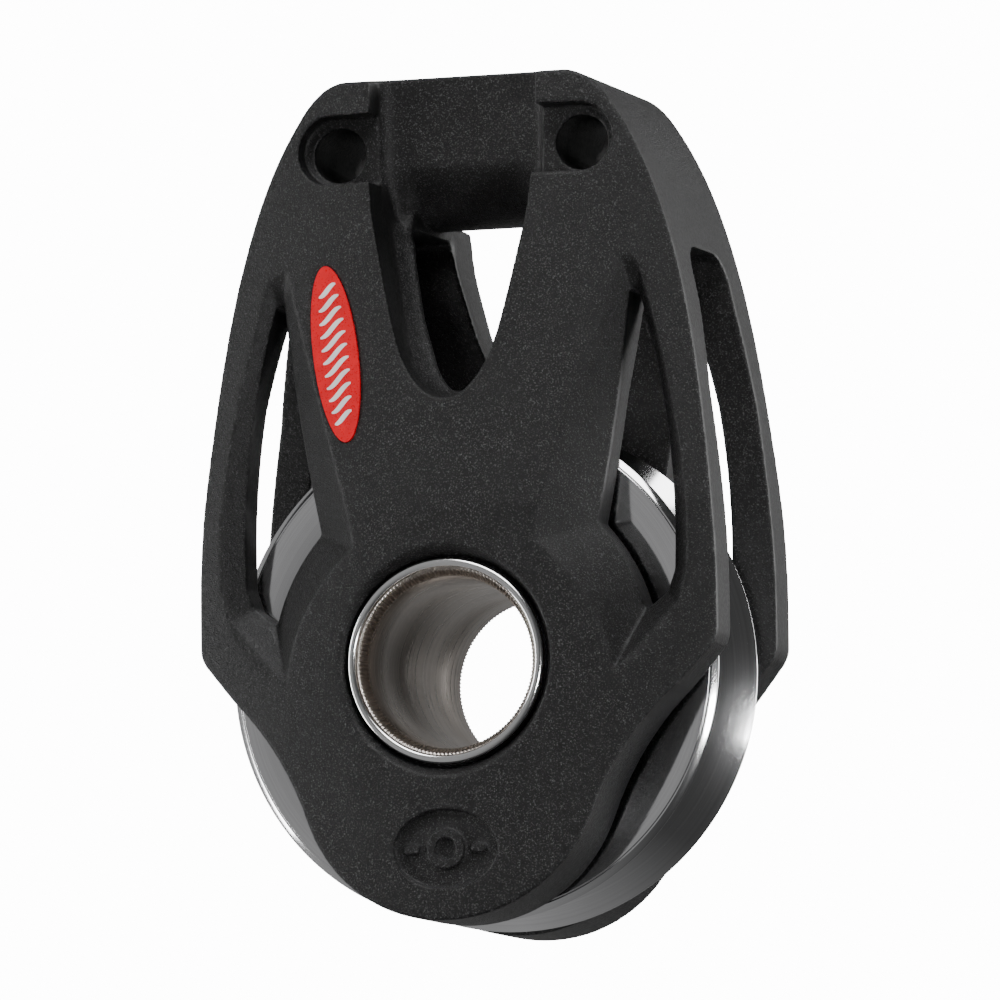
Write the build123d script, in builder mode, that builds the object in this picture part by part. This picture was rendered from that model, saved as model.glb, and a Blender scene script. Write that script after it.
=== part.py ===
from build123d import *
import os
from math import cos, radians, sin, sqrt, tan

# Single sheave block: a moulded frame with a lashing head, a hollow steel hub tube and an aluminium
# sheave that turns on two rows of loose steel balls.
# Millimetres. The origin is the centre of the hub bore. +Y runs along the bore from the front cheek to
# the rear cheek, +X is to the right seen from the front, and +Z points up to the head.

# Sheave
sheave_radius = 15.0
sheave_half_width = 4.05
crest_half_width = 3.7
line_groove_radius = 2.6
line_groove_wall_angle = 35.0
sheave_bore_radius = 10.4

# Ball bearing: two rows, loose balls, one split inner race and one split outer race
ball_radius = 1.5875
ball_count = 15
ball_pitch_radius = 8.2
ball_row_y = 1.85
race_groove_radius = 1.62
inner_race_land_radius = 7.45
outer_race_land_radius = 8.95
outer_race_half_width = 3.6
retainer_inner_radius = 7.65
retainer_outer_y = 3.95
race_split_gap = 0.02

# Hub tube, flared over at both ends
hub_bore_radius = 5.0
hub_tube_radius = 5.6
hub_fit_gap = 0.03
rim_radius = 6.03
rim_bore_radius = 5.5
rim_face_y = 9.3
rim_edge_thickness = 0.3
flare_start_y = 8.5
bell_start_y = 8.2
rim_edge_round = 0.12

# Cheeks: crowned across, upright low down, and leaning in towards the head
cheek_gap_half = 4.35
cheek_face_y = 9.6
cheek_crown_radius = 50.0
lean_start_z = 9.0
lean_slope = 0.1
thrust_washer_radius = 7.4

# Gap between the cheeks: it narrows above the sheave and has rounded top corners
gap_narrow_start_z = 15.6
gap_narrow_end_z = 21.0
gap_narrow_half = 3.4
gap_top_z = 24.4
gap_corner_radius = 1.8

# Side outline of the frame
head_top_z = 35.2
head_crown_radius = 40.0
head_corner = (6.6, 34.75)
shoulder_points = [(9.65, 32.65), (12.6, 26.5), (15.05, 14.8)]
hip_x = 15.95
hip_round = 1.7
hip_top_z = 3.5
hip_corner_z = 0.85
hip_inner = (13.65, -1.75)
toe_radius = 9.35
toe_centre_z = -5.8
toe_angle = -20.0

# Windows, one each side of each cheek
window_bevel_y = 6.35
window_bevel_reach = 3.4
window_ring_radius = 11.7
window_tip = (10.95, 21.6)
window_arm_middle = (9.85, 15.0)
window_arm_foot = (8.55, 7.99)
window_ring_end = (11.38, 2.72)
window_toe = (12.75, 3.75)
window_strut_foot = (13.2, 5.0)
window_strut_middle = (12.9, 13.2)
window_tip_half = 0.22

# Lashing head: a saddle recess each side, a cross bar, and the opening under it
front_saddle_levels = [(4.8, 26.6), (5.08, 29.4), (5.16, 36.0)]
rear_saddle_levels = [(4.95, 27.2), (5.08, 29.4), (5.16, 36.0)]
saddle_slope_top_z = 29.3
saddle_slope_foot = (3.45, 26.4)
saddle_slope_half_length = 4.7
saddle_corner_radius = 0.9
bar_front_y = 4.6
bar_turn_z = 29.6
bar_underside_z = 26.4

# Throat: the opening's sides curve in from the cheek's face to a thin lip. Its sections lean as the
# cheek's hollow does. Each stage is (depth of the section, share of the way out to the rim). The rear
# cheek's throat is nearly straight.
throat_lean = 0.247
throat_middle_z = 22.5
throat_rim = [(4.85, 27.3), (4.42, 24.75), (4.0, 22.8), (3.45, 20.4), (2.95, 18.6), (2.2, 17.0), (1.2, 15.85)]
throat_lip = [(3.55, 27.3), (3.42, 24.75), (3.03, 22.8), (2.45, 20.4), (1.82, 18.6), (1.15, 17.0), (0.5, 16.2)]
throat_rim_foot_z = 15.45
throat_lip_foot_z = 16.0
front_throat_stages = [
    (10.4, 1.04),
    (6.1, 0.96),
    (5.5, 0.84),
    (5.05, 0.62),
    (4.7, 0.34),
    (4.45, 0.0),
    (4.05, 0.0),
]
rear_throat_stages = [(10.4, 0.3), (6.1, 0.12), (4.05, 0.0)]

# Hollow inside each cheek behind the throat
hollow_half_length = 6.5
hollow_foot_z = 15.3
hollow_wide_z = 16.3
hollow_wide_half = 5.65
hollow_narrow_z = 25.4
hollow_top_z = 26.15
hollow_corner_radius = 0.7

# Line holes in the ears of the head, each in a shallow pocket open to the saddle
ear_hole_x = 7.5
ear_hole_z = 30.5
ear_hole_radius = 1.6
ear_pocket_radius = 2.05
ear_pocket_shift = 0.15
ear_pocket_floor_y = 5.3

# Oval pad with a raised pulley sign, low on the front cheek
pad_z = -11.0
pad_half_width = 3.2
pad_half_height = 2.3
pad_floor_y = 9.22
sign_height = 0.28
sign_ring_outer = 1.15
sign_ring_inner = 0.65
sign_bar_length = 0.95
sign_bar_width = 0.5
sign_bar_x = 2.05

# Oval label on the left arm of the front cheek
label_x = -6.9
label_z = 18.4
label_half_length = 5.45
label_half_width = 1.5
label_lean = 9.5
label_pocket_depth = 0.16
label_stand = 0.04
label_edge_gap = 0.05

# Well round each end of the hub tube, with a flared mouth. Each level is (depth, radius).
rim_well_levels = [(8.45, 6.2), (8.8, 6.2), (9.7, 6.85)]
through = 30.0


def face_depth(x, z):
    """Distance of the cheek's outer face from the middle plane, at a place on the cheek."""
    lean = max(0.0, z - lean_start_z) * lean_slope
    drop = cheek_crown_radius - sqrt(cheek_crown_radius**2 - x**2)
    return cheek_face_y - lean - drop


def both_cheeks(depth):
    """Planes that face outwards, one on the front cheek and one on the rear cheek."""
    front = Plane.XZ.offset(depth)
    rear = Plane(origin=(0, depth, 0), x_dir=(-1, 0, 0), z_dir=(0, 1, 0))
    return front, rear


def window_corners(spread, side):
    """Points round a window, with every edge moved outwards by the spread. The side is -1 or 1."""
    ring_radius = window_ring_radius - spread
    ring_middle = (ring_radius * cos(radians(28)), ring_radius * sin(radians(28)))
    moves = [
        ((window_tip[0] - window_tip_half, window_tip[1]), (-0.62, 3.0)),
        (window_arm_middle, (-1.0, 0.1)),
        (window_arm_foot, (-1.03, -0.37)),
        (ring_middle, (0.0, 0.0)),
        (window_ring_end, (-0.62, -1.71)),
        (window_toe, (0.84, -0.62)),
        (window_strut_foot, (1.0, -0.1)),
        (window_strut_middle, (1.0, 0.1)),
        ((window_tip[0] + window_tip_half, window_tip[1]), (0.42, 3.0)),
    ]
    return [(side * (x + dx * spread), z + dz * spread) for (x, z), (dx, dz) in moves]


def throat_side(share):
    """Points down one side of the throat, on its leaning plane. The share runs from lip 0 to rim 1."""
    stretch = sqrt(1 + throat_lean**2)
    lip = [*throat_lip, (0, throat_lip_foot_z)]
    rim = [*throat_rim, (0, throat_rim_foot_z)]
    side = []
    for (lip_x, lip_z), (rim_x, rim_z) in zip(lip, rim):
        z = lip_z + (rim_z - lip_z) * share
        side.append((lip_x + (rim_x - lip_x) * share, (z - throat_middle_z) * stretch))
    return side


def save(piece, name):
    piece.part.label = name
    export_step(piece.part, f"parts/{name}.step")


race_bore_radius = hub_tube_radius + hub_fit_gap
race_length = retainer_outer_y - race_split_gap
race_middle_y = (retainer_outer_y + race_split_gap) / 2

# The label lies on the plane that touches the crowned face at its middle
face_step = 0.1
label_depth_left = face_depth(label_x - face_step, label_z)
label_depth_right = face_depth(label_x + face_step, label_z)
label_slope_x = (label_depth_right - label_depth_left) / (2 * face_step)
label_up = Vector(-tan(radians(label_lean)), lean_slope, 1).normalized()
label_plane = Plane(
    origin=(label_x, -face_depth(label_x, label_z), label_z),
    x_dir=label_up.cross(Vector(-label_slope_x, -1, lean_slope)),
    z_dir=(-label_slope_x, -1, lean_slope),
)

os.makedirs("parts", exist_ok=True)

# Frame envelope: the crowned outer faces of the two cheeks
envelope_base_z = -20.0
envelope_top_z = 38.0
with BuildPart() as envelope:
    for z, next_z in ((envelope_base_z, lean_start_z), (lean_start_z, envelope_top_z)):
        for level in (z, next_z):
            centre_y = cheek_crown_radius - face_depth(0, level)
            with BuildSketch(Plane.XY.offset(level)):
                with Locations((0, centre_y)):
                    Circle(cheek_crown_radius)
                with Locations((0, -centre_y)):
                    Circle(cheek_crown_radius, mode=Mode.INTERSECT)
        loft(ruled=True)

# Frame: both cheeks and the head in one moulding
with BuildPart() as frame:
    with BuildSketch(Plane.XZ):
        with BuildLine():
            toe_tangent_x = toe_radius * cos(radians(toe_angle))
            toe_tangent_z = toe_centre_z + toe_radius * sin(radians(toe_angle))
            toe_middle = (
                toe_radius * cos(radians(-55)),
                toe_centre_z + toe_radius * sin(radians(-55)),
            )
            toe_foot = (0, toe_centre_z - toe_radius)
            toe = ThreePointArc(toe_foot, toe_middle, (toe_tangent_x, toe_tangent_z))
            waist = TangentArc(toe @ 1, hip_inner, tangent=toe % 1)
            Polyline(waist @ 1, (hip_x, hip_corner_z), (hip_x, hip_top_z))
            shoulder_ends = [(0, 1), (-1, 0.08)]
            Spline((hip_x, hip_top_z), *reversed(shoulder_points), head_corner, tangents=shoulder_ends)
            top_middle = (head_corner[0] / 2, head_top_z - 0.1)
            ThreePointArc(head_corner, top_middle, (0, head_top_z))
            mirror(about=Plane.YZ)
        outline = make_face()
        fillet(outline.vertices().filter_by(lambda v: abs(v.Y - hip_corner_z) < 0.01), hip_round)
    extrude(amount=cheek_face_y + 1, both=True)
    add(envelope.part, mode=Mode.INTERSECT)

    # The top of the head is crowned from front to rear
    with BuildSketch(Plane.YZ):
        with Locations((0, head_top_z - head_crown_radius)):
            Circle(head_crown_radius)
    extrude(amount=through, both=True, mode=Mode.INTERSECT)

    # Gap for the sheave and its line
    with BuildSketch(Plane.YZ):
        with BuildLine():
            Polyline(
                (-gap_narrow_half, gap_top_z),
                (-gap_narrow_half, gap_narrow_end_z),
                (-cheek_gap_half, gap_narrow_start_z),
                (-cheek_gap_half, -through),
                (cheek_gap_half, -through),
                (cheek_gap_half, gap_narrow_start_z),
                (gap_narrow_half, gap_narrow_end_z),
                (gap_narrow_half, gap_top_z),
                close=True,
            )
        gap = make_face()
        fillet(gap.vertices().group_by(Axis.Y)[-1], gap_corner_radius)
    extrude(amount=through, both=True, mode=Mode.SUBTRACT)

    # Windows: each is straight through the cheek's inner part, then opens out at 45 degrees
    window_straight = ((0.0, 0.0), (window_bevel_y, 0.0))
    window_bevel = ((window_bevel_y, 0.0), (window_bevel_y + window_bevel_reach, window_bevel_reach))
    for stretch in (window_straight, window_bevel):
        for cheek in (0, 1):
            for side in (-1, 1):
                for depth, spread in stretch:
                    with BuildSketch(both_cheeks(depth)[cheek]):
                        corners = window_corners(spread, side)
                        arm_tip, arm_middle, arm_foot, ring_middle, ring_end = corners[:5]
                        toe_corner, strut_foot, strut_middle, strut_tip = corners[5:]
                        with BuildLine():
                            ThreePointArc(arm_tip, arm_middle, arm_foot)
                            ThreePointArc(arm_foot, ring_middle, ring_end)
                            Polyline(ring_end, toe_corner, strut_foot)
                            ThreePointArc(strut_foot, strut_middle, strut_tip)
                            Line(strut_tip, arm_tip)
                        make_face()
                loft(ruled=True, mode=Mode.SUBTRACT)

    # Hub bore, and a well round each end for the flared rim
    with BuildSketch(Plane.XZ):
        Circle(race_bore_radius)
    extrude(amount=through, both=True, mode=Mode.SUBTRACT)
    for level, next_level in zip(rim_well_levels, rim_well_levels[1:]):
        for cheek in (0, 1):
            for depth, radius in (level, next_level):
                with BuildSketch(both_cheeks(depth)[cheek]):
                    Circle(radius)
            loft(ruled=True, mode=Mode.SUBTRACT)

    # Saddle recess above the opening, with a rounded corner against the cross bar
    saddle_reach = 2 * (cheek_face_y - bar_front_y)
    for sign, saddle_levels in ((-1, front_saddle_levels), (1, rear_saddle_levels)):
        for level, next_level in zip(saddle_levels, saddle_levels[1:]):
            for half, z in (level, next_level):
                with BuildSketch(Plane.XY.offset(z)):
                    with Locations((0, sign * (bar_front_y + saddle_reach / 2))):
                        RectangleRounded(2 * half, saddle_reach, saddle_corner_radius)
            loft(ruled=True, mode=Mode.SUBTRACT)

    # The saddle's lower corners slope back under the bar to the front throat
    with BuildSketch(Plane.YZ):
        foot_y, foot_z = saddle_slope_foot
        with BuildLine():
            Polyline(
                (-bar_front_y - 0.05, saddle_slope_top_z),
                (-foot_y, foot_z),
                (-cheek_face_y, foot_z),
                (-cheek_face_y, saddle_slope_top_z),
                close=True,
            )
        make_face()
    extrude(amount=saddle_slope_half_length, both=True, mode=Mode.SUBTRACT)

    # Hollow inside the cheeks, so that they end in a thin lip round the throat
    with BuildSketch(Plane.YZ):
        with BuildLine():
            Polyline(
                (0, hollow_foot_z),
                (cheek_gap_half, hollow_foot_z),
                (hollow_wide_half, hollow_wide_z),
                (gap_narrow_half, hollow_narrow_z),
                (gap_narrow_half, hollow_top_z),
                (0, hollow_top_z),
            )
            mirror(about=Plane.YZ)
        hollow = make_face()
        hollow_corners = hollow.vertices().group_by(Axis.Y)[-1].filter_by(lambda v: abs(v.X) > 1)
        fillet(hollow_corners, hollow_corner_radius)
    extrude(amount=hollow_half_length, both=True, mode=Mode.SUBTRACT)

    # Throat through both cheeks
    for x_dir, y_sign, throat_stages in ((1, -1, front_throat_stages), (-1, 1, rear_throat_stages)):
        for stage, next_stage in zip(throat_stages, throat_stages[1:]):
            for depth, share in (stage, next_stage):
                throat_plane = Plane(
                    origin=(0, y_sign * depth, throat_middle_z),
                    x_dir=(x_dir, 0, 0),
                    z_dir=(0, y_sign, throat_lean),
                )
                with BuildSketch(throat_plane):
                    with BuildLine():
                        side_points = throat_side(share)
                        side = Spline(side_points, tangents=[(-0.08, -1), (-1, 0)])
                        Line(side @ 0, (0, side_points[0][1]))
                        mirror(about=Plane.YZ)
                    make_face()
            loft(ruled=True, mode=Mode.SUBTRACT)

    # Rounded underside of the bar
    with BuildSketch(Plane.YZ):
        with BuildLine():
            bar_front = (-bar_front_y, bar_turn_z)
            bar_rear = (bar_front_y, bar_turn_z)
            ThreePointArc(bar_front, (0, bar_underside_z), bar_rear)
            Polyline(bar_rear, (bar_rear[0], hollow_narrow_z), (bar_front[0], hollow_narrow_z), bar_front)
        make_face()
    extrude(amount=throat_lip[0][0], both=True, mode=Mode.SUBTRACT)

    # Line holes in the ears, and the pocket round each
    with BuildSketch(Plane.XZ):
        with Locations((-ear_hole_x, ear_hole_z), (ear_hole_x, ear_hole_z)):
            Circle(ear_hole_radius)
    extrude(amount=through, both=True, mode=Mode.SUBTRACT)
    with BuildSketch(*both_cheeks(ear_pocket_floor_y)):
        pocket_x = ear_hole_x + ear_pocket_shift
        pocket_z = ear_hole_z + ear_pocket_shift
        with Locations((-pocket_x, pocket_z), (pocket_x, pocket_z)):
            Circle(ear_pocket_radius)
        with Locations((0, pocket_z)):
            Rectangle(2 * pocket_x, 2 * ear_pocket_radius)
    extrude(amount=through, mode=Mode.SUBTRACT)

    # Oval pad and its raised sign: a ring between two bars
    with BuildSketch(Plane.XZ.offset(pad_floor_y)):
        with Locations((0, pad_z)):
            Ellipse(pad_half_width, pad_half_height)
    extrude(amount=through, mode=Mode.SUBTRACT)
    with BuildSketch(Plane.XZ.offset(pad_floor_y)):
        with Locations((0, pad_z)):
            Circle(sign_ring_outer)
            Circle(sign_ring_inner, mode=Mode.SUBTRACT)
        with Locations((-sign_bar_x, pad_z), (sign_bar_x, pad_z)):
            SlotOverall(sign_bar_length, sign_bar_width)
    extrude(amount=sign_height)

    # Shallow pocket for the label
    with BuildSketch(label_plane):
        Ellipse(label_half_width, label_half_length)
    extrude(amount=-label_pocket_depth, mode=Mode.SUBTRACT)
save(frame, "frame")

# Label: a thin oval plate in its pocket
with BuildPart() as front_label:
    with BuildSketch(label_plane.offset(-label_pocket_depth)):
        Ellipse(label_half_width - label_edge_gap, label_half_length - label_edge_gap)
    extrude(amount=label_pocket_depth + label_stand)
save(front_label, "front_label")

# Hub tube: a thin steel tube whose ends are flared over
with BuildPart() as hub_tube:
    with BuildSketch(Plane.XY) as wall:
        with BuildLine():
            Polyline(
                (hub_bore_radius, 0),
                (hub_tube_radius, 0),
                (hub_tube_radius, flare_start_y),
                (rim_radius, rim_face_y - rim_edge_thickness),
                (rim_radius, rim_face_y),
                (rim_bore_radius, rim_face_y),
            )
            bell_middle = (hub_bore_radius + 0.13, (bell_start_y + rim_face_y) / 2 + 0.1)
            ThreePointArc((rim_bore_radius, rim_face_y), bell_middle, (hub_bore_radius, bell_start_y))
            Line((hub_bore_radius, bell_start_y), (hub_bore_radius, 0))
        make_face()
        fillet(wall.vertices().group_by(Axis.Y)[-1], rim_edge_round)
        mirror(about=Plane.XZ)
    revolve(axis=Axis.Y)
save(hub_tube, "hub_tube")

# Inner race: two rings on the hub tube, each with a groove for one row of balls
for end, sense in (("front", -1), ("rear", 1)):
    with BuildPart() as inner_race:
        with BuildSketch(Plane.XY):
            with Locations(((race_bore_radius + inner_race_land_radius) / 2, sense * race_middle_y)):
                Rectangle(inner_race_land_radius - race_bore_radius, race_length)
            with Locations((ball_pitch_radius, sense * ball_row_y)):
                Circle(race_groove_radius, mode=Mode.SUBTRACT)
        revolve(axis=Axis.Y)
    save(inner_race, f"inner_race_{end}")

# Thrust washer: between each end of the inner race and the cheek
for end, sense in (("front", -1), ("rear", 1)):
    with BuildPart() as thrust_washer:
        with BuildSketch(Plane.XZ.offset(-sense * (retainer_outer_y + cheek_gap_half) / 2)):
            Circle(thrust_washer_radius)
            Circle(race_bore_radius, mode=Mode.SUBTRACT)
        extrude(amount=(cheek_gap_half - retainer_outer_y) / 2, both=True)
    save(thrust_washer, f"thrust_washer_{end}")

# Sheave: turned aluminium, with a groove for the line
with BuildPart() as sheave:
    with BuildSketch(Plane.XY):
        bevel = sheave_half_width - crest_half_width
        with BuildLine():
            Polyline(
                (sheave_bore_radius, -sheave_half_width),
                (sheave_radius - bevel, -sheave_half_width),
                (sheave_radius, -crest_half_width),
                (sheave_radius, crest_half_width),
                (sheave_radius - bevel, sheave_half_width),
                (sheave_bore_radius, sheave_half_width),
                close=True,
            )
        make_face()
    revolve(axis=Axis.Y)
    with BuildSketch(Plane.XY) as groove:
        groove_apex = sheave_radius - crest_half_width / tan(radians(line_groove_wall_angle))
        with BuildLine():
            Polyline(
                (sheave_radius, -crest_half_width),
                (groove_apex, 0),
                (sheave_radius, crest_half_width),
                close=True,
            )
        make_face()
        fillet(groove.vertices().sort_by(Axis.X)[0], line_groove_radius)
    revolve(axis=Axis.Y, mode=Mode.SUBTRACT)
save(sheave, "sheave")

# Outer race: two rings pressed into the sheave
for end, sense in (("front", -1), ("rear", 1)):
    with BuildPart() as outer_race:
        with BuildSketch(Plane.XY):
            outer_middle_y = sense * (race_split_gap + outer_race_half_width) / 2
            outer_length = outer_race_half_width - race_split_gap
            with Locations(((outer_race_land_radius + sheave_bore_radius) / 2, outer_middle_y)):
                Rectangle(sheave_bore_radius - outer_race_land_radius, outer_length)
            with Locations((ball_pitch_radius, sense * ball_row_y)):
                Circle(race_groove_radius, mode=Mode.SUBTRACT)
        revolve(axis=Axis.Y)
    save(outer_race, f"outer_race_{end}")

# Retainer: a flat ring at each side of the sheave that keeps the balls in
for end, sense in (("front", -1), ("rear", 1)):
    with BuildPart() as retainer:
        with BuildSketch(Plane.XZ.offset(-sense * (outer_race_half_width + retainer_outer_y) / 2)):
            Circle(sheave_bore_radius)
            Circle(retainer_inner_radius, mode=Mode.SUBTRACT)
        extrude(amount=(retainer_outer_y - outer_race_half_width) / 2, both=True)
    save(retainer, f"ball_retainer_{end}")

# Balls: two rows round the hub
for end, sense in (("front", -1), ("rear", 1)):
    for number in range(ball_count):
        angle = radians(360 * number / ball_count)
        centre = (ball_pitch_radius * cos(angle), sense * ball_row_y, ball_pitch_radius * sin(angle))
        with BuildPart() as ball:
            with Locations(centre):
                Sphere(ball_radius)
        save(ball, f"ball_{end}_{number + 1:02d}")
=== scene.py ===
from math import cos, pi, radians, sin, tau

import bmesh
import bpy
from mathutils import Matrix, Vector


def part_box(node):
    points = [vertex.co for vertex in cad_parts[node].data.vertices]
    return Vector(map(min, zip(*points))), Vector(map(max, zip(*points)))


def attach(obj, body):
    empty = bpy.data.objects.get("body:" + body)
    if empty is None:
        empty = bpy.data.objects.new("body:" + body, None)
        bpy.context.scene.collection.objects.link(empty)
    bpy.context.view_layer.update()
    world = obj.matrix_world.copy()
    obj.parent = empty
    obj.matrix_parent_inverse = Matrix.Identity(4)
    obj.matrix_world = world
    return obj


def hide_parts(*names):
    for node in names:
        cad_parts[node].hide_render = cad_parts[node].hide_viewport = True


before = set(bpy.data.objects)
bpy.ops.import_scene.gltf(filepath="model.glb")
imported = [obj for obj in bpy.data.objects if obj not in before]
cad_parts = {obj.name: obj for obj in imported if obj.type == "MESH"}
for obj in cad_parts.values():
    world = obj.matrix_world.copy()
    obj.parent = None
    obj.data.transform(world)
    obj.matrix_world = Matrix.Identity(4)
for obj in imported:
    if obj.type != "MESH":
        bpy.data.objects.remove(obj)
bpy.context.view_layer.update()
MM = 0.001

# ---------------------------------------------------------------- small helpers


def shade(mesh, smooth):
    """Shades all the mesh's faces smooth or flat."""
    mesh.polygons.foreach_set("use_smooth", [smooth] * len(mesh.polygons))


def link_mesh(name, mesh, smooth=True):
    """A new object in the scene."""
    shade(mesh, smooth)
    piece = bpy.data.objects.new(name, mesh)
    bpy.context.scene.collection.objects.link(piece)
    return piece


def apply_modifiers(piece):
    """Turns the piece's modifiers into plain mesh."""
    graph = bpy.context.evaluated_depsgraph_get()
    mesh = bpy.data.meshes.new_from_object(piece.evaluated_get(graph))
    piece.modifiers.clear()
    piece.data = mesh
    shade(mesh, smooth=True)


def revolve(name, profile, turns, ripple=None):
    """A closed ring about the Y axis from a closed profile of (radius, y) points in millimetres.

    The ripple, if given, moves a point outwards: it takes the point's index and its turn.
    """
    bm = bmesh.new()
    rings = []
    for step in range(turns):
        angle = tau * step / turns
        ring = []
        for index, (radius, y) in enumerate(profile):
            out = radius + (ripple(index, step) if ripple else 0.0)
            ring.append(bm.verts.new((out * cos(angle) * MM, y * MM, out * sin(angle) * MM)))
        rings.append(ring)
    count = len(profile)
    for step in range(turns):
        ring, following = rings[step], rings[(step + 1) % turns]
        for index in range(count):
            other = (index + 1) % count
            bm.faces.new((ring[index], ring[other], following[other], following[index]))
    bmesh.ops.recalc_face_normals(bm, faces=bm.faces)
    mesh = bpy.data.meshes.new(name)
    bm.to_mesh(mesh)
    bm.free()
    return link_mesh(name, mesh)


def rounded(corners, steps=6):
    """A closed profile from corners of (radius, y, round), each rounded by an arc."""
    points = []
    count = len(corners)
    for index, (x, y, fillet) in enumerate(corners):
        here = Vector((x, y))
        if not fillet:
            points.append((x, y))
            continue
        back = (Vector(corners[index - 1][:2]) - here).normalized()
        ahead = (Vector(corners[(index + 1) % count][:2]) - here).normalized()
        half = back.angle(ahead) / 2
        middle = here + (back + ahead).normalized() * (fillet / sin(half))
        start = here + back * (fillet * cos(half) / sin(half)) - middle
        end = here + ahead * (fillet * cos(half) / sin(half)) - middle
        for step in range(steps + 1):
            share = step / steps
            point = start.slerp(end, share) if start.angle(end) > 0.01 else start.lerp(end, share)
            points.append(tuple(middle + point.normalized() * fillet))
    return points


# ---------------------------------------------------------------- materials

RANGE_INPUTS = ("From Min", "From Max", "To Min", "To Max")


class Shader:
    """A material with one Principled shader, and short calls that add and join its nodes."""

    def __init__(self, name):
        self.material = bpy.data.materials.new(name)
        self.material.use_nodes = True
        self.tree = self.material.node_tree
        self.principled = self.tree.nodes["Principled BSDF"]

    def node(self, kind, **values):
        made = self.tree.nodes.new(kind)
        for key, value in values.items():
            setattr(made, key, value)
        return made

    def join(self, output, target):
        self.tree.links.new(output, target)

    def set(self, **values):
        for key, value in values.items():
            self.principled.inputs[key.replace("_", " ")].default_value = value

    def feed(self, **values):
        for key, value in values.items():
            self.join(value, self.principled.inputs[key.replace("_", " ")])

    def place(self):
        """The point on the object, in millimetres."""
        coordinates = self.node("ShaderNodeTexCoord")
        mapping = self.node("ShaderNodeMapping")
        mapping.inputs["Scale"].default_value = (1000.0, 1000.0, 1000.0)
        self.join(coordinates.outputs["Object"], mapping.inputs["Vector"])
        return mapping.outputs["Vector"]

    def split(self, vector):
        made = self.node("ShaderNodeSeparateXYZ")
        self.join(vector, made.inputs[0])
        return made.outputs

    def noise(self, vector, scale, detail=2.0, roughness=0.5):
        made = self.node("ShaderNodeTexNoise")
        made.inputs["Scale"].default_value = scale
        made.inputs["Detail"].default_value = detail
        made.inputs["Roughness"].default_value = roughness
        self.join(vector, made.inputs["Vector"])
        return made.outputs["Fac"]

    def cells(self, vector, scale):
        """Distance to the middle of the nearest cell, and a random grey of that cell."""
        made = self.node("ShaderNodeTexVoronoi")
        made.inputs["Scale"].default_value = scale
        self.join(vector, made.inputs["Vector"])
        return made.outputs["Distance"], self.split(made.outputs["Color"])[0]

    def math(self, operation, first, second=None, third=None):
        made = self.node("ShaderNodeMath", operation=operation)
        for socket, value in zip(made.inputs, (first, second, third)):
            if value is None:
                continue
            if isinstance(value, (int, float)):
                socket.default_value = value
            else:
                self.join(value, socket)
        return made.outputs[0]

    def ramp(self, value, stops):
        made = self.node("ShaderNodeValToRGB")
        elements = made.color_ramp.elements
        while len(elements) < len(stops):
            elements.new(0.5)
        for element, (position, colour) in zip(elements, stops):
            element.position = position
            element.color = (*colour, 1.0)
        self.join(value, made.inputs["Fac"])
        return made.outputs["Color"]

    def spread(self, value, low, high, to_low, to_high):
        """Maps a value from one range to another, and holds it at the ends."""
        made = self.node("ShaderNodeMapRange")
        for name, number in zip(RANGE_INPUTS, (low, high, to_low, to_high)):
            made.inputs[name].default_value = number
        self.join(value, made.inputs["Value"])
        return made.outputs["Result"]

    def bump(self, height, distance_mm, strength=1.0):
        made = self.node("ShaderNodeBump")
        made.inputs["Strength"].default_value = strength
        made.inputs["Distance"].default_value = distance_mm * MM
        self.join(height, made.inputs["Height"])
        return made.outputs["Normal"]


def cool_grey(value):
    """A grey with a trace of blue, as black nylon has."""
    return (value, value, value * 1.03)


# Grains in a millimetre of the nylon's skin, fibres and flecks in a millimetre of its painted glints, and
# the skin's depth in millimetres.
GRAIN_SCALE = 5.0
GLINT_FIBRE_SCALE = 10.5
GLINT_FLECK_SCALE = 7.5
GRAIN_DEPTH = 0.06
# The last tone is the pale painted highlight of the glints.
NYLON_AND_GLINT_TONES = [(0.05, cool_grey(0.003)), (0.2, cool_grey(0.007)), (0.9, cool_grey(0.13))]


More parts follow.
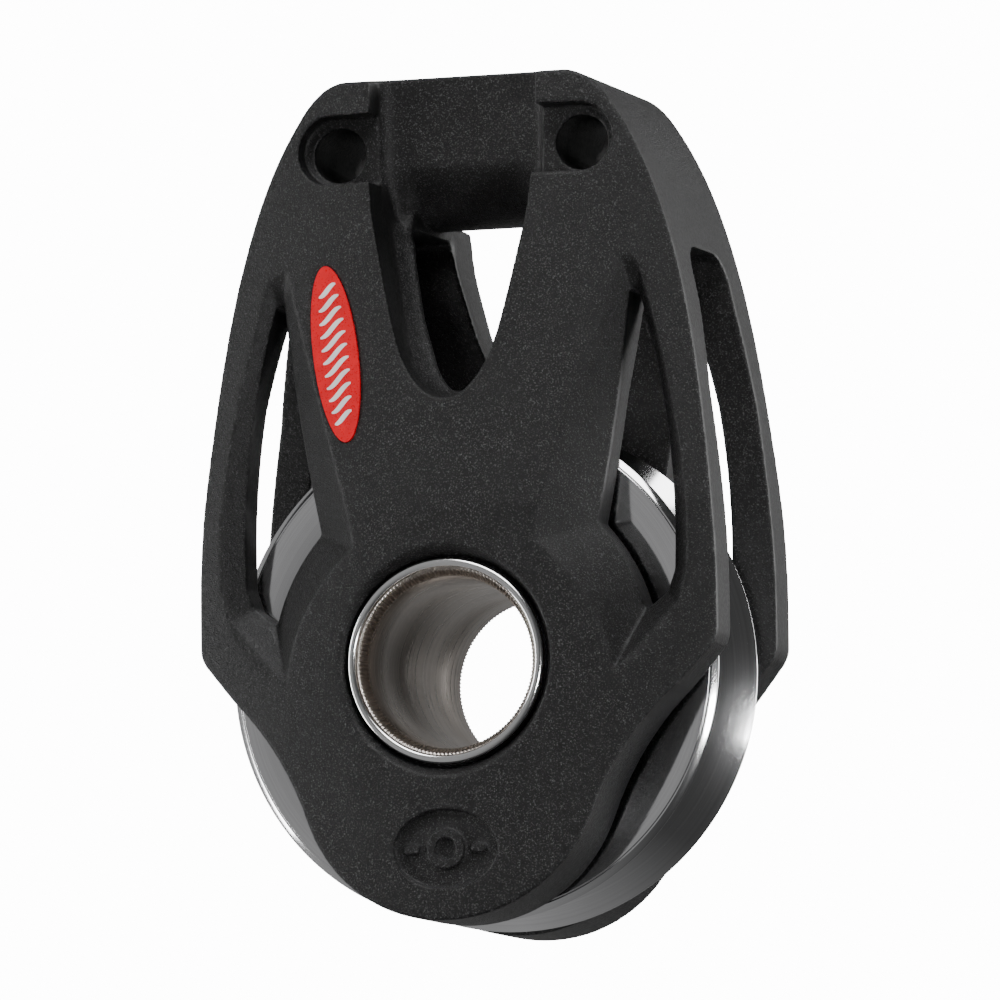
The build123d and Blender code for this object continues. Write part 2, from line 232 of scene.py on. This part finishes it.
def nylon():
    """Black glass-filled nylon: a pebbled skin, smoother on the side walls, with glints of fibre that are
    painted highlights: pale specks in its colour that also raise its bump, and none on the side walls.
    """
    s = Shader("frame_nylon")
    place = s.place()
    normal_x = s.split(s.node("ShaderNodeTexCoord").outputs["Normal"])[0]
    side_wall = s.spread(s.math("ABSOLUTE", normal_x), 0.86, 0.96, 0.0, 1.0)
    open_face = s.math("SUBTRACT", 1.0, side_wall)
    grain = s.noise(place, GRAIN_SCALE, detail=3.0, roughness=0.7)
    cloud = s.noise(place, 0.3, detail=3.0)
    glint_fibres = s.spread(s.noise(place, GLINT_FIBRE_SCALE, detail=2.0), 0.54, 0.70, 0.0, 0.9)
    distance, chance = s.cells(place, GLINT_FLECK_SCALE)
    glint_fleck = s.spread(distance, 0.1, 0.4, 1.0, 0.0)
    chosen_glint = s.spread(chance, 0.6, 1.0, 0.0, 1.0)
    # Painted highlight: the glints are pale specks in the base colour on every face but the side walls,
    # and the same specks also raise the bump.
    glint_paint_and_bump = s.math("MULTIPLY", s.math("MULTIPLY_ADD", glint_fleck, chosen_glint, glint_fibres), open_face)
    glint_paint_and_bump = s.math("MULTIPLY", glint_paint_and_bump, s.spread(cloud, 0.3, 0.7, 0.6, 1.0))
    tone = s.math("MULTIPLY_ADD", glint_paint_and_bump, 0.55, s.math("MULTIPLY", grain, 0.2))
    height = s.math("MULTIPLY_ADD", glint_paint_and_bump, 0.7, grain)
    share_of_depth = s.spread(open_face, 0.0, 1.0, 0.3, 1.0)
    s.feed(
        Base_Color=s.ramp(tone, NYLON_AND_GLINT_TONES),
        Roughness=s.spread(s.math("MULTIPLY_ADD", cloud, 0.3, grain), 0.4, 0.95, 0.36, 0.56),
        Normal=s.bump(s.math("MULTIPLY", height, share_of_depth), GRAIN_DEPTH),
    )
    s.set(Specular_IOR_Level=0.42)
    return s.material


def darker(colour, share):
    return tuple(channel * share for channel in colour)


def lathe_marks(s, place, ring_pitch):
    """Noise that changes only with the radius and along Y, as a lathe tool's marks do, and that Y."""
    x, y, z = s.split(place)
    radius = s.math("SQRT", s.math("ADD", s.math("MULTIPLY", x, x), s.math("MULTIPLY", z, z)))
    track = s.node("ShaderNodeCombineXYZ")
    s.join(radius, track.inputs[0])
    s.join(y, track.inputs[1])
    return s.noise(track.outputs[0], 1.0 / ring_pitch, detail=3.0, roughness=0.75), y


def turned_metal(name, colour, roughness, anisotropy, ring_pitch, ring_depth, tint=None, face=None):
    """Metal turned on a lathe about the Y axis: fine rings that stretch the highlights.

    The tint, if given, is the colour of its duller rings, and the face another finish near its ends.
    """
    s = Shader(name)
    place = s.place()
    marks, y = lathe_marks(s, place, ring_pitch)
    smear = s.noise(place, 0.35, detail=2.0)
    mottle = s.math("MULTIPLY_ADD", marks, 0.75, s.math("MULTIPLY", smear, 0.25))
    tone = s.ramp(mottle, [(0.35, darker(tint or colour, 0.88)), (0.65, colour)])
    unevenness = s.math("MULTIPLY_ADD", smear, 0.3, marks)
    rough = s.spread(unevenness, 0.45, 0.85, roughness * 0.85, roughness * 1.15)
    if face:
        start, face_colour, times_as_rough = face
        on_face = s.spread(s.math("ABSOLUTE", y), start, start + 0.08, 0.0, 1.0)
        mix = s.node("ShaderNodeMix", data_type="RGBA")
        s.join(on_face, mix.inputs["Factor"])
        s.join(tone, mix.inputs["A"])
        s.join(s.ramp(marks, [(0.35, darker(face_colour, 0.9)), (0.65, face_colour)]), mix.inputs["B"])
        tone = mix.outputs["Result"]
        rough = s.math("MULTIPLY", rough, s.spread(on_face, 0.0, 1.0, 1.0, times_as_rough))
    tangent = s.node("ShaderNodeTangent", direction_type="RADIAL", axis="Y").outputs[0]
    s.feed(Base_Color=tone, Roughness=rough, Normal=s.bump(marks, ring_depth), Tangent=tangent)
    s.set(Metallic=1.0, Anisotropic=anisotropy)
    return s.material


def plain_plastic(name, colour, roughness, grain_depth):
    """Smooth moulded or printed plastic with slight unevenness."""
    s = Shader(name)
    place = s.place()
    cloud = s.noise(place, 1.2, detail=3.0)
    grain = s.noise(place, 9.0, detail=2.0)
    s.feed(
        Base_Color=s.ramp(cloud, [(0.3, darker(colour, 0.82)), (0.7, colour)]),
        Roughness=s.spread(grain, 0.3, 0.7, roughness * 0.8, roughness * 1.25),
        Normal=s.bump(grain, grain_depth, 0.5),
    )
    return s.material


# Where the bead's finish starts along Y in millimetres, its colour, and how many times as rough it is.
POLISHED_BEAD = (9.0, (0.9, 0.9, 0.9), 0.5)

frame_nylon = nylon()
sheave_metal = turned_metal("sheave_aluminium", (0.80, 0.80, 0.81), roughness=0.105, anisotropy=0.5,
                            ring_pitch=0.12, ring_depth=0.001)
hub_metal = turned_metal("hub_steel", (0.52, 0.48, 0.445), roughness=0.3, anisotropy=0.3,
                         ring_pitch=0.3, ring_depth=0.0015, tint=(0.42, 0.38, 0.345), face=POLISHED_BEAD)
race_metal = turned_metal("race_steel", (0.6, 0.6, 0.61), roughness=0.22, anisotropy=0.4,
                          ring_pitch=0.15, ring_depth=0.002)
ball_metal = turned_metal("ball_steel", (0.75, 0.75, 0.76), roughness=0.08, anisotropy=0.0,
                          ring_pitch=0.5, ring_depth=0.0005)
washer_plastic = plain_plastic("washer_acetal", (0.75, 0.74, 0.70), roughness=0.4, grain_depth=0.004)
label_red = plain_plastic("label_red", (0.85, 0.004, 0.014), roughness=0.3, grain_depth=0.0005)
label_white = plain_plastic("label_white", (0.95, 0.95, 0.95), roughness=0.4, grain_depth=0.0005)

# ---------------------------------------------------------------- frame moulding

VOXEL = 0.10 * MM
SOFTEN_ROUNDS = 11
BLEND_ROUNDS = 160
BLEND_GAIN = 1.6
# The share of its faces that the remeshed moulding keeps.
MOULDING_SHARE = 0.19
# The sign's pad: its reach along X, along Z and, as the limit behind it, along Y, in millimetres.
SIGN_PAD = ((-3.7, 3.7), (-13.8, -8.3), -8.0)
SIGN_SOFTENING = 0.07
# Where the saddle's corners run under the bar, and where each window's bevel runs into the hub's ring.
# Each is a middle and radii in millimetres, for x and y without their signs.
BLENDS = (
    ((4.1, 4.1, 27.4), (1.4, 1.6, 2.8)),
    ((12.4, 9.0, 1.2), (2.6, 2.2, 2.6)),
    ((9.3, 9.2, 8.4), (1.6, 1.6, 2.0)),
)


def remeshed(piece, size):
    remesh = piece.modifiers.new("remesh", "REMESH")
    remesh.mode = "VOXEL"
    remesh.voxel_size = size
    apply_modifiers(piece)


def keep_sign_crisp(piece):
    """Weights for the smoothing, so that the small raised sign on the pad keeps its shape."""
    (left, right), (low, high), back = SIGN_PAD
    pad, rest = [], []
    for vertex in piece.data.vertices:
        x, y, z = vertex.co / MM
        on_pad = left < x < right and low < z < high and y < back
        (pad if on_pad else rest).append(vertex.index)
    group = piece.vertex_groups.new(name="soften")
    group.add(pad, SIGN_SOFTENING, "REPLACE")
    group.add(rest, 1.0, "REPLACE")
    return group.name


def fade(point, middle, radii):
    """1 at the middle of an ellipsoid, falling to 0 at its surface."""
    away = sum(((value - centre) / radius) ** 2 for value, centre, radius in zip(point, middle, radii))
    return max(0.0, 1.0 - away)


def blended_corners(piece):
    """Weights for more smoothing where the moulding's faces run softly into each other."""
    group = piece.vertex_groups.new(name="blend")
    for vertex in piece.data.vertices:
        x, y, z = vertex.co / MM
        point = (abs(x), abs(y), z)
        weight = max(fade(point, middle, radii) for middle, radii in BLENDS)
        if weight > 0.02:
            group.add([vertex.index], min(1.0, BLEND_GAIN * weight), "REPLACE")
    return group.name


def soften_frame():
    """The frame with its edges rounded as a moulding's are."""
    piece = link_mesh("frame_moulding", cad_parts["frame"].data.copy())
    remeshed(piece, VOXEL * (1.0))
    smooth = piece.modifiers.new("smooth", "SMOOTH")
    smooth.factor = 0.5
    smooth.iterations = SOFTEN_ROUNDS
    smooth.vertex_group = keep_sign_crisp(piece)
    blend = piece.modifiers.new("blend", "SMOOTH")
    blend.factor = 0.5
    blend.iterations = BLEND_ROUNDS
    blend.vertex_group = blended_corners(piece)
    thin = piece.modifiers.new("thin", "DECIMATE")
    thin.ratio = MOULDING_SHARE
    apply_modifiers(piece)
    piece.data.materials.clear()
    piece.data.materials.append(frame_nylon)
    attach(piece, "block_frame")
    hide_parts("frame")


soften_frame()

# ---------------------------------------------------------------- sheave

SHEAVE_TURNS = 288
SHEAVE_BORE = 10.4
CREST_HALF_WIDTH = 3.7
GROOVE_SLOPE = 0.7
GROOVE_ROUND = 2.6
FACE_EDGE_RADIUS = 14.5


def sheave_profile():
    """The sheave's section: side face, a fine step, a bevel, the crest, and the round-bottomed groove."""
    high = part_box("sheave")[1]
    crest, half = high.x / MM, high.y / MM
    side = [
        (SHEAVE_BORE, half - 0.12, 0.0),
        (SHEAVE_BORE + 0.12, half, 0.0),
        (FACE_EDGE_RADIUS, half, 0.02),
        (FACE_EDGE_RADIUS + 0.03, half - 0.07, 0.015),
        (FACE_EDGE_RADIUS + 0.12, half - 0.07, 0.02),
        (crest, CREST_HALF_WIDTH + 0.04, 0.09),
        (crest - 0.03, CREST_HALF_WIDTH - 0.08, 0.05),
    ]
    bottom = [(crest - CREST_HALF_WIDTH / GROOVE_SLOPE, 0.0, GROOVE_ROUND)]
    other = [(radius, -y, fillet) for radius, y, fillet in reversed(side)]
    return rounded(side + bottom + other)


def build_sheave():
    piece = revolve("sheave_turned", sheave_profile(), SHEAVE_TURNS)
    piece.data.materials.append(sheave_metal)
    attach(piece, "sheave_wheel")
    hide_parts("sheave")


build_sheave()

# ---------------------------------------------------------------- hub tube

SWAGE_MARKS = 144
STEPS_PER_MARK = 6
SWAGE_DEPTH = 0.04
SWAGE_FROM_Y = 8.2
SWAGE_TO_Y = 8.95


def hub_profile():
    """The tube's section: a rolled bead at each end, a swaged flare, and a bore with faint steps."""
    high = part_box("hub_tube")[1]
    rim, face = high.x / MM, high.y / MM
    side = [
        (5.6, 8.45, 0.3),
        (rim - 0.02, face - 0.5, 0.1),
        (rim, face, 0.26),
        (rim - 0.54, face, 0.24),
        (rim - 0.54, SWAGE_TO_Y, 0.05),
        (5.38, 8.9, 0.0),
        (5.3, 8.75, 0.0),
        (5.22, 8.6, 0.0),
        (5.14, 8.45, 0.0),
        (5.08, 8.3, 0.0),
        (5.05, SWAGE_FROM_Y - 0.05, 0.0),
        (5.03, 7.9, 0.0),
        (5.0, 7.8, 0.0),
        (5.0, 5.4, 0.0),
        (5.015, 5.3, 0.0),
        (5.015, 2.6, 0.0),
        (5.0, 2.5, 0.0),
    ]
    other = [(radius, -y, fillet) for radius, y, fillet in reversed(side)]
    return rounded(side + other)


def build_hub():
    profile = hub_profile()

    def swage(index, step):
        radius, y = profile[index]
        on_flare = radius < 5.5 and SWAGE_FROM_Y < abs(y) < SWAGE_TO_Y
        return SWAGE_DEPTH * cos(tau * step / STEPS_PER_MARK) if on_flare else 0.0

    piece = revolve("hub_tube_swaged", profile, SWAGE_MARKS * STEPS_PER_MARK, swage)
    piece.data.materials.append(hub_metal)
    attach(piece, "block_frame")
    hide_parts("hub_tube")


build_hub()

# ---------------------------------------------------------------- label pattern

# The strokes' sizes in millimetres. The lean is a share of their reach.
STROKE_COUNT = 11
STROKE_PITCH = 0.78
STROKE_LEAN = 0.5
STROKE_HALF_LENGTH = 0.85
STROKE_HALF_WIDTH = 0.2
STROKE_HEIGHT = 0.02


def label_axes():
    """Middle, across, along and outward directions of the label's front."""
    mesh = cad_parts["front_label"].data
    front = [polygon for polygon in mesh.polygons if polygon.normal.y < -0.9]
    area = sum(polygon.area for polygon in front)
    middle = sum((polygon.center * polygon.area for polygon in front), Vector()) / area
    outward = sum((polygon.normal * polygon.area for polygon in front), Vector()).normalized()
    edge = [mesh.vertices[index].co for polygon in front for index in polygon.vertices]
    tip = max((point for point in edge if point.z > middle.z), key=lambda point: (point - middle).length)
    along = (tip - middle - outward * (tip - middle).dot(outward)).normalized()
    half_length = (tip - middle).length / MM
    return middle, along.cross(outward), along, outward, half_length


def stroke_outline(at, reach):
    """A slanted stroke across the label, thick in its middle and thin at its ends."""
    steps = 10
    upper, lower = [], []
    for step in range(steps + 1):
        t = 2 * step / steps - 1
        curve = at + STROKE_LEAN * reach * sin(t * pi / 2)
        thick = STROKE_HALF_WIDTH * (1 - 0.75 * t * t)
        upper.append((t * reach, curve + thick))
        lower.append((t * reach, curve - thick))
    return upper + lower[::-1]


def build_label_pattern():
    """A row of slanted strokes down the label, as the strands of a twisted rope."""
    middle, across, along, outward, half_length = label_axes()
    bm = bmesh.new()
    for number in range(STROKE_COUNT):
        at = (number - (STROKE_COUNT - 1) / 2) * STROKE_PITCH
        reach = STROKE_HALF_LENGTH * (1 - (at / half_length) ** 2) ** 0.5
        corners = [(u * MM, v * MM) for u, v in stroke_outline(at, reach)]
        low = [bm.verts.new(middle + across * u + along * v) for u, v in corners]
        high = [bm.verts.new(vertex.co + outward * STROKE_HEIGHT * MM) for vertex in low]
        bm.faces.new(high)
        bm.faces.new(low[::-1])
        for index, vertex in enumerate(low):
            other = (index + 1) % len(low)
            bm.faces.new((vertex, low[other], high[other], high[index]))
    bmesh.ops.recalc_face_normals(bm, faces=bm.faces)
    mesh = bpy.data.meshes.new("label_pattern")
    bm.to_mesh(mesh)
    bm.free()
    piece = link_mesh("label_pattern", mesh, smooth=False)
    mesh.materials.append(label_white)
    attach(piece, "block_frame")


build_label_pattern()

# ---------------------------------------------------------------- finishes of the carried-over nodes


def finish_for(node):
    """The material of a node that keeps its CAD shape, or None for a node that is replaced."""
    if node.startswith("ball_front") or node.startswith("ball_rear"):
        return ball_metal
    if "race" in node:
        return race_metal
    if "washer" in node or "retainer" in node:
        return washer_plastic
    if node == "front_label":
        return label_red
    return None


for node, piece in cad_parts.items():
    finish = finish_for(node)
    if finish:
        piece.data.materials.clear()
        piece.data.materials.append(finish)

# ---------------------------------------------------------------- camera, floor and light

# Angles in degrees, lengths in metres. The glow, the white and the room are radiances.
CAMERA_AZIMUTH = 18.881
CAMERA_ELEVATION = -5.344
CAMERA_DISTANCE = 0.7062
CAMERA_YAW = 18.852
CAMERA_PITCH = 6.174
CAMERA_ROLL = -0.689
FLOOR_REACH = 2.5
FLOOR_LEVEL = -0.9
FLOOR_GLOW = 13.0
WHITE_BEHIND = 14.0
ROOM_AT_LEFT = 0.3
ROOM_AT_RIGHT = 0.05
LIGHT_TARGET = Vector((0.0, 0.0, 0.01))
# Name, azimuth, elevation, distance, width, height and watts of each light.
SOFTBOXES = (
    ("right_softbox", 122, 12, 0.5, 0.30, 0.45, 3.3),
    ("top_softbox", 15, 60, 0.5, 0.35, 0.25, 2.2),
    ("left_softbox", -75, 0, 0.6, 0.10, 0.5, 2.0),
    ("low_right_softbox", 50, -9, 0.5, 0.07, 0.08, 1.1),
)


def aim(yaw, pitch, roll):
    """A rotation that looks along +Y, turned left by the yaw, tipped up by the pitch and rolled."""
    turn = Matrix.Rotation(radians(yaw), 4, "Z")
    tip = Matrix.Rotation(radians(90 + pitch), 4, "X")
    return turn @ tip @ Matrix.Rotation(radians(roll), 4, "Z")


def around(azimuth, elevation, distance):
    """A place round the origin. Azimuth 0 is in front, at -Y, and 90 is to the right, at +X."""
    az, el = radians(azimuth), radians(elevation)
    return Vector((sin(az) * cos(el), -cos(az) * cos(el), sin(el))) * distance


def add_camera():
    data = bpy.data.cameras.new("camera")
    data.sensor_width = 36.0
    data.lens = 432.0
    data.clip_start = 0.01
    data.clip_end = 10.0
    camera = bpy.data.objects.new("camera", data)
    bpy.context.scene.collection.objects.link(camera)
    place = Matrix.Translation(around(CAMERA_AZIMUTH, CAMERA_ELEVATION, CAMERA_DISTANCE))
    camera.matrix_world = place @ aim(CAMERA_YAW, CAMERA_PITCH, CAMERA_ROLL)
    bpy.context.scene.camera = camera


def add_floor():
    """A pale floor well below the object. It glows evenly, and the object doesn't mirror it."""
    mesh = bpy.data.meshes.new("floor")
    corners = [(-FLOOR_REACH, -FLOOR_REACH), (FLOOR_REACH, -FLOOR_REACH),
               (FLOOR_REACH, FLOOR_REACH), (-FLOOR_REACH, FLOOR_REACH)]
    mesh.from_pydata([(x, y, FLOOR_LEVEL) for x, y in corners], [], [(0, 1, 2, 3)])
    floor = link_mesh("floor", mesh)
    s = Shader("floor_white")
    s.set(Base_Color=(0.7, 0.7, 0.7, 1.0), Roughness=0.7)
    s.set(Emission_Color=(1.0, 1.0, 1.0, 1.0), Emission_Strength=FLOOR_GLOW)
    mesh.materials.append(s.material)
    floor.visible_glossy = False
    floor.visible_diffuse = False


def add_softbox(name, azimuth, elevation, distance, width, height, watts):
    data = bpy.data.lights.new(name, "AREA")
    data.shape = "RECTANGLE"
    data.size = width
    data.size_y = height
    data.energy = watts
    light = bpy.data.objects.new(name, data)
    bpy.context.scene.collection.objects.link(light)
    place = around(azimuth, elevation, distance)
    facing = (LIGHT_TARGET - place).to_track_quat("-Z", "Y").to_matrix().to_4x4()
    light.matrix_world = Matrix.Translation(place) @ facing


def add_world():
    """White behind the object. What the metal reflects is pale on the left and dark on the right."""
    world = bpy.data.worlds.new("studio")
    world.use_nodes = True
    bpy.context.scene.world = world
    tree = world.node_tree
    background = tree.nodes["Background"]
    path = tree.nodes.new("ShaderNodeLightPath")
    direction = tree.nodes.new("ShaderNodeTexCoord")
    parts = tree.nodes.new("ShaderNodeSeparateXYZ")
    tree.links.new(direction.outputs["Generated"], parts.inputs[0])
    room = tree.nodes.new("ShaderNodeMapRange")
    for name, number in zip(RANGE_INPUTS, (-0.3, 0.5, ROOM_AT_LEFT, ROOM_AT_RIGHT)):
        room.inputs[name].default_value = number
    tree.links.new(parts.outputs["X"], room.inputs["Value"])
    mix = tree.nodes.new("ShaderNodeMix")
    mix.data_type = "RGBA"
    mix.inputs["B"].default_value = (WHITE_BEHIND, WHITE_BEHIND, WHITE_BEHIND, 1.0)
    tree.links.new(room.outputs["Result"], mix.inputs["A"])
    tree.links.new(path.outputs["Is Camera Ray"], mix.inputs["Factor"])
    tree.links.new(mix.outputs["Result"], background.inputs["Color"])


add_camera()
add_floor()
add_world()
for softbox in SOFTBOXES:
    add_softbox(*softbox)
